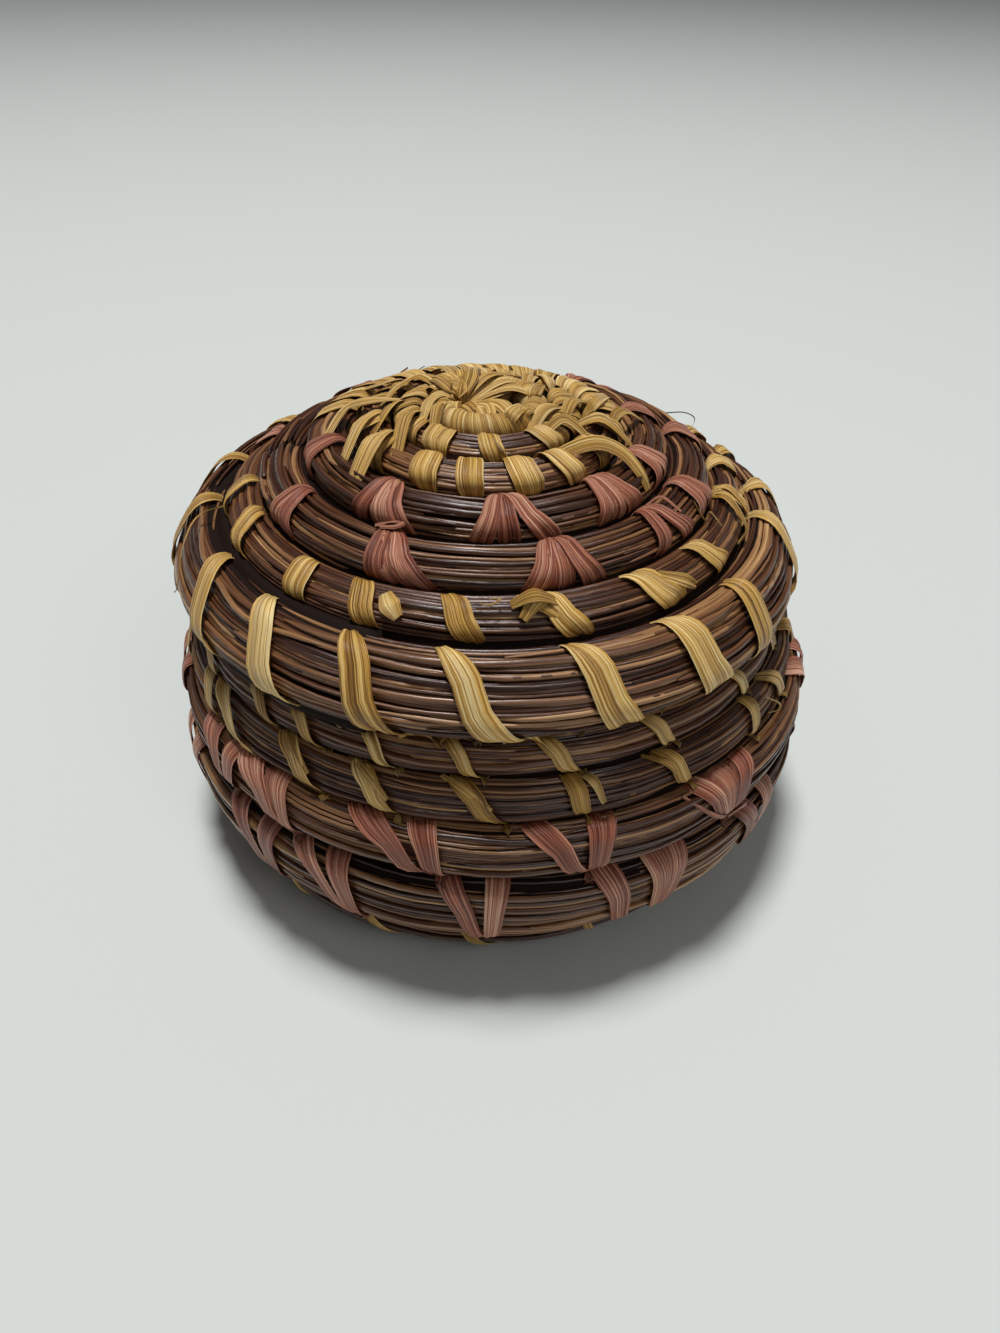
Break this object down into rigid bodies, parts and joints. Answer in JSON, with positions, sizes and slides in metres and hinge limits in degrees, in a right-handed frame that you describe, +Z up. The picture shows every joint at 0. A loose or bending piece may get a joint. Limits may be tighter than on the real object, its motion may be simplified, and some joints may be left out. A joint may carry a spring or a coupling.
{
  "type": "pine needle basket",
  "caption": "Round lidded basket coiled from bundles of pine needles and sewn with raffia, with a domed lift-off lid that is kept centred by a collar.",
  "frame": {"origin": "middle of the basket's footprint box, on the surface it stands on", "axes": "+Z up through the lid, the shortest side; -Y is the side seen from the front; the basket is nearly round about +Z"},
  "size_m": [0.1556, 0.1558, 0.1068],
  "materials": {
    "needles": "dried pine needles, dark brown with tan and amber strands, waxy satin",
    "raffia_natural": "golden natural raffia, fibrous satin",
    "raffia_mauve": "dusty rose dyed raffia, fibrous satin"
  },
  "bodies": {
    "bowl": {"bowl_coil": "needles", "bowl_start_ring": "raffia_natural", "bowl_raffia_round_1": "raffia_natural", "bowl_raffia_round_2": "raffia_natural", "bowl_raffia_round_3": "raffia_natural", "bowl_raffia_round_4": "raffia_natural", "bowl_raffia_round_5": "raffia_natural", "bowl_raffia_round_6": "raffia_natural", "bowl_raffia_round_7": "raffia_mauve", "bowl_raffia_round_8": "raffia_mauve", "bowl_raffia_round_9": "raffia_natural", "bowl_raffia_round_10": "raffia_natural"},
    "lid": {"lid_coil": "needles", "lid_start_ring": "raffia_natural", "lid_raffia_round_1": "raffia_natural", "lid_raffia_round_2": "raffia_natural", "lid_raffia_round_3": "raffia_mauve", "lid_raffia_round_4": "raffia_mauve", "lid_raffia_round_5": "raffia_natural", "lid_raffia_round_6": "raffia_natural", "lid_collar": "needles", "lid_collar_raffia": "raffia_natural"}
  },
  "joints": [
    {"name": "lid_lift", "type": "slide", "parent": "bowl", "child": "lid", "axis": [0, 0, 1], "range_m": [0, 0.09]}
  ]
}
